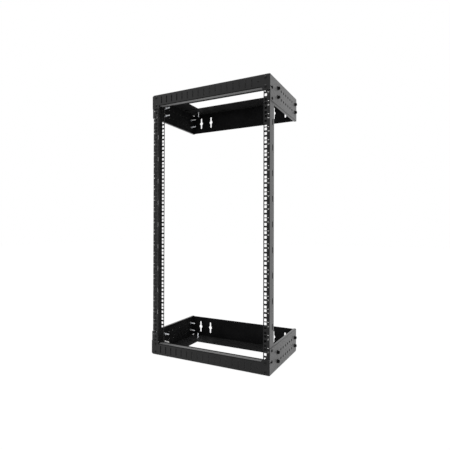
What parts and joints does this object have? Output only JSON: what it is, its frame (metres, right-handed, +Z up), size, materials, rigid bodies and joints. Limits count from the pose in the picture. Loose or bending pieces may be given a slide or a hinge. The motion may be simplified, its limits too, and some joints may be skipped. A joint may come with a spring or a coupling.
{
  "type": "wall mount open frame rack",
  "caption": "Open frame rack for a wall: two square hole posts held between folded steel trays, with keyhole brackets that slide in the trays to set the depth.",
  "frame": {"origin": "middle of the lower bracket's wall face", "axes": "+X to the right seen from the front, +Y into the wall, +Z up along the posts"},
  "size_m": [0.516, 0.3048, 1.0375],
  "materials": {
    "powder_coat": "satin black powder coat",
    "black_oxide": "blackened steel",
    "zinc_plate": "bright zinc plate"
  },
  "bodies": {
    "root": {"lower_tray": "powder_coat", "upper_tray": "powder_coat", "lower_wall_bracket": "powder_coat", "upper_wall_bracket": "powder_coat", "left_post": "powder_coat", "right_post": "powder_coat", "lower_left_depth_heads": "black_oxide", "lower_right_depth_heads": "black_oxide", "upper_left_depth_heads": "black_oxide", "upper_right_depth_heads": "black_oxide", "lower_left_depth_studs": "zinc_plate", "lower_right_depth_studs": "zinc_plate", "upper_left_depth_studs": "zinc_plate", "upper_right_depth_studs": "zinc_plate", "lower_left_depth_washers": "zinc_plate", "lower_right_depth_washers": "zinc_plate", "upper_left_depth_washers": "zinc_plate", "upper_right_depth_washers": "zinc_plate", "lower_left_depth_nuts": "zinc_plate", "lower_right_depth_nuts": "zinc_plate", "upper_left_depth_nuts": "zinc_plate", "upper_right_depth_nuts": "zinc_plate", "lower_left_post_screws": "black_oxide", "lower_right_post_screws": "black_oxide", "upper_left_post_screws": "black_oxide", "upper_right_post_screws": "black_oxide", "lower_left_post_nuts": "zinc_plate", "lower_right_post_nuts": "zinc_plate", "upper_left_post_nuts": "zinc_plate", "upper_right_post_nuts": "zinc_plate", "lower_left_face_screws": "black_oxide", "lower_right_face_screws": "black_oxide", "upper_left_face_screws": "black_oxide", "upper_right_face_screws": "black_oxide", "lower_left_cages": "zinc_plate", "lower_right_cages": "zinc_plate", "upper_left_cages": "zinc_plate", "upper_right_cages": "zinc_plate", "lower_left_cage_nuts": "zinc_plate", "lower_right_cage_nuts": "zinc_plate", "upper_left_cage_nuts": "zinc_plate", "upper_right_cage_nuts": "zinc_plate", "lower_flange_screws": "zinc_plate", "upper_flange_screws": "zinc_plate", "lower_flange_nuts": "zinc_plate", "upper_flange_nuts": "zinc_plate"}
  },
  "joints": []
}
